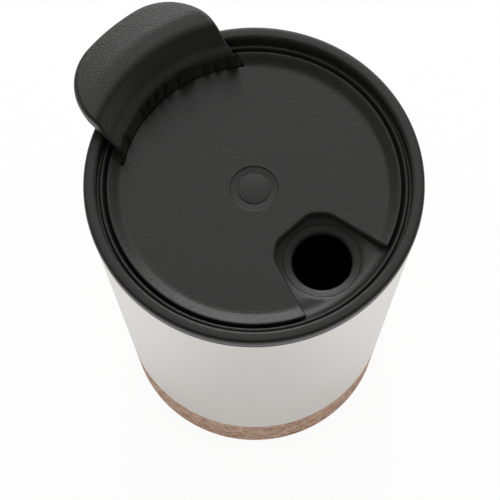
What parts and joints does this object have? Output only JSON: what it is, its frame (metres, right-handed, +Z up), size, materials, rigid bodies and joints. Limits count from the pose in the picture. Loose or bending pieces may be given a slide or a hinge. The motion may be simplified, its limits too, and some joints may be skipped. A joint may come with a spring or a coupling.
{
  "type": "travel tumbler",
  "caption": "Tapered double-wall tumbler with a cork foot band, push-in lid and a turning disc whose thumb tab opens a round drinking hole.",
  "frame": {"origin": "centre of the base underside", "axes": "+Z up along the cup's axis, thumb tab towards -X +Y, drinking hole towards +X -Y"},
  "size_m": [0.0945, 0.0976, 0.1164],
  "materials": {
    "steel": "satin, fine brushing",
    "cork": "pressed cork granules, matt",
    "lid_plastic": "fine moulded grain",
    "inner_plastic": "smooth satin",
    "silicone": "matt silicone"
  },
  "bodies": {
    "cup": {"outer_shell": "steel", "cork_base": "cork", "base_core": "inner_plastic", "inner_liner": "inner_plastic", "neck_ring": "silicone"},
    "lid": {"lid_body": "lid_plastic", "lid_seal": "silicone", "pivot_ring": "silicone"},
    "disc": {"swivel_disc": "lid_plastic", "thumb_tab": "lid_plastic", "pivot_pin": "lid_plastic", "pivot_retainer": "inner_plastic", "closing_pad": "silicone"}
  },
  "joints": [
    {"name": "lid_lift", "type": "slide", "parent": "cup", "child": "lid", "axis": [0, 0, 1], "range_m": [0, 0.03]},
    {"name": "disc_turn", "type": "hinge", "parent": "lid", "child": "disc", "pos_m": [0, 0, 0.105], "axis": [0, 0, 1], "range_deg": [0, 180]}
  ]
}
